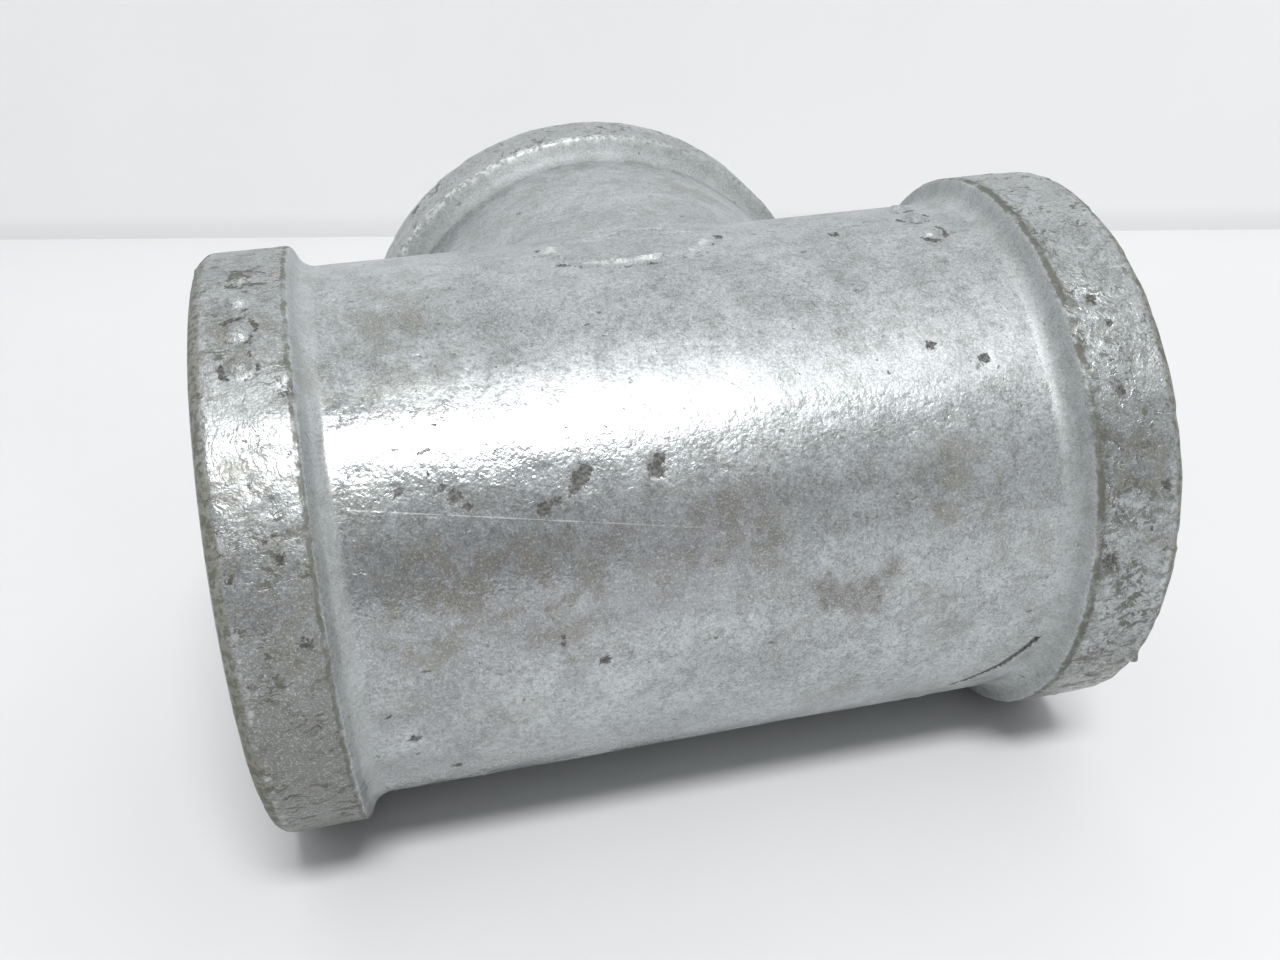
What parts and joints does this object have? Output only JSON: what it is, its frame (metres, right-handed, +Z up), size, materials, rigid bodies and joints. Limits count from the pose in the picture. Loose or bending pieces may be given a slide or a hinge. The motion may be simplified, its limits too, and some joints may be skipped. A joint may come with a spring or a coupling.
{
  "type": "equal pipe tee",
  "caption": "Banded malleable iron pipe tee: straight run with a threaded socket at each end and an equal threaded side branch, hot-dip galvanised.",
  "frame": {"origin": "middle of the footprint on the plane the tee lies on. The run's axis and the branch's axis cross at x = 0, y = -0.009275, z = 0.0386 m", "axes": "+X along the run, +Y out of the branch, +Z up, normal to the plane of the two axes; the tee lies on its bands at z = 0"},
  "size_m": [0.1142, 0.0958, 0.0776],
  "materials": {
    "galvanised_iron": "hot-dip zinc over a sand-cast surface: satin, mottled blue-grey with dross specks; sockets are bare machined metal on the threads"
  },
  "bodies": {
    "root": {"tee_body": "galvanised_iron"}
  },
  "joints": []
}
